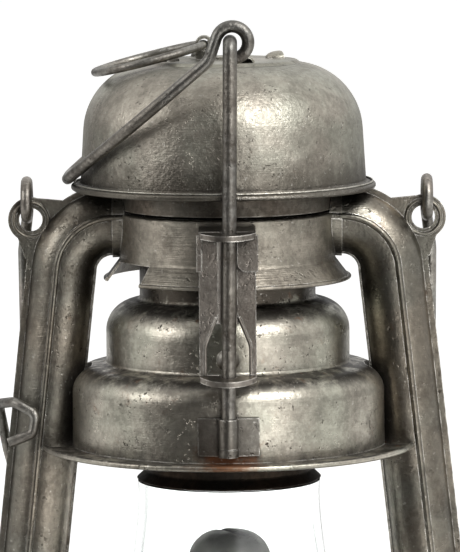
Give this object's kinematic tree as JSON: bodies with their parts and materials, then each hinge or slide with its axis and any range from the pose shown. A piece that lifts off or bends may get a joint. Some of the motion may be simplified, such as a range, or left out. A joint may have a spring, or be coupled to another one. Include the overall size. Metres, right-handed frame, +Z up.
{
  "type": "hurricane lantern",
  "caption": "Small tubular oil lantern with a stepped lifting bell, domed hood, clear glass globe, side air tubes with ears, a lifting bail, a carrying bail and a round tank.",
  "frame": {"origin": "centre of the tank's foot rim, on the ground", "axes": "+Z up along the globe's axis, +X to the lantern's right seen from the front, and the front, with the visible rod, faces -Y"},
  "size_m": [0.136, 0.114, 0.2492],
  "materials": {
    "tinned_sheet": "aged tinned sheet, satin, pitted, with worn bright edges",
    "sooted_sheet": "tinned sheet darkened by soot",
    "burner_sheet": "dull grey pressed sheet",
    "steel_wire": "aged plated wire, satin",
    "clear_glass": "clear blown glass",
    "brass_fitting": "dull aged brass",
    "wick_cotton": "flat woven cotton",
    "gasket_rubber": "matte black"
  },
  "bodies": {
    "frame": {"tank_shell": "tinned_sheet", "tank_base": "tinned_sheet", "filler_neck": "brass_fitting", "cap_gasket": "gasket_rubber", "air_chamber": "tinned_sheet", "burner_collar": "brass_fitting", "burner_body": "brass_fitting", "burner_cone": "burner_sheet", "wick_tube": "brass_fitting", "lever_bracket": "tinned_sheet", "collar": "tinned_sheet", "intake_band": "tinned_sheet", "crown_plate": "tinned_sheet", "chimney": "tinned_sheet", "hood": "tinned_sheet", "hood_struts": "tinned_sheet", "ring_clip": "tinned_sheet", "front_bracket": "tinned_sheet", "rear_bracket": "tinned_sheet", "right_tube_front": "tinned_sheet", "right_tube_rear": "tinned_sheet", "left_tube_front": "tinned_sheet", "left_tube_rear": "tinned_sheet"},
    "globe_unit": {"globe_plate": "tinned_sheet", "globe_springs": "tinned_sheet", "globe": "clear_glass"},
    "bell_unit": {"bell": "tinned_sheet", "globe_seat": "sooted_sheet", "front_bell_stud": "tinned_sheet", "rear_bell_stud": "tinned_sheet", "front_clip": "tinned_sheet", "rear_clip": "tinned_sheet", "front_rod": "steel_wire", "rear_rod": "steel_wire"},
    "lifting_bail": {"lifting_bail": "steel_wire"},
    "carrying_bail": {"carrying_bail": "steel_wire"},
    "hanging_ring": {"hanging_ring": "steel_wire"},
    "lift_lever": {"lift_lever": "steel_wire"},
    "wick_gear": {"wick_shaft": "steel_wire", "wick_wheels": "brass_fitting", "wick_knob": "tinned_sheet"},
    "wick": {"wick": "wick_cotton"},
    "filler_cap": {"filler_cap": "tinned_sheet"}
  },
  "joints": [
    {"name": "globe_lift", "type": "slide", "parent": "frame", "child": "globe_unit", "axis": [0, 0, 1], "range_m": [0, 0.0043]},
    {"name": "bell_lift", "type": "slide", "parent": "globe_unit", "child": "bell_unit", "axis": [0, 0, 1], "range_m": [0, 0.0043]},
    {"name": "lever_turn", "type": "hinge", "parent": "frame", "child": "lift_lever", "pos_m": [-0.036, 0.014, 0.055], "axis": [0, -1, 0], "range_deg": [0, 35.1]},
    {"name": "lifting_bail_swing", "type": "hinge", "parent": "bell_unit", "child": "lifting_bail", "pos_m": [0.00176, 0, 0.24095], "axis": [0, 0.9983, -0.058], "range_deg": [0, 262]},
    {"name": "carrying_bail_swing", "type": "hinge", "parent": "frame", "child": "carrying_bail", "pos_m": [0, 0, 0.19815], "axis": [1, 0, 0], "range_deg": [0, 240]},
    {"name": "hanging_ring_swing", "type": "hinge", "parent": "frame", "child": "hanging_ring", "pos_m": [-0.0059, 0, 0.24055], "axis": [0, 1, 0], "range_deg": [0, 196]},
    {"name": "wick_gear_turn", "type": "hinge", "parent": "frame", "child": "wick_gear", "pos_m": [0.00373, 0.00261, 0.04941], "axis": [0.5736, -0.8192, 0], "range_deg": [-60, 30]},
    {"name": "wick_travel", "type": "slide", "parent": "frame", "child": "wick", "axis": [0, 0, 1], "range_m": [-0.0019, 0.0037]},
    {"name": "filler_cap_turn", "type": "hinge", "parent": "frame", "child": "filler_cap", "pos_m": [-0.0301, -0.0271, 0.0434], "axis": [0, 0, 1], "range_deg": [0, 540]}
  ],
  "couplings": [
    {"joint": "lever_turn", "follows": "globe_lift", "rad_per_m": 142.06},
    {"joint": "wick_travel", "follows": "wick_gear_turn", "m_per_rad": -0.0034}
  ]
}
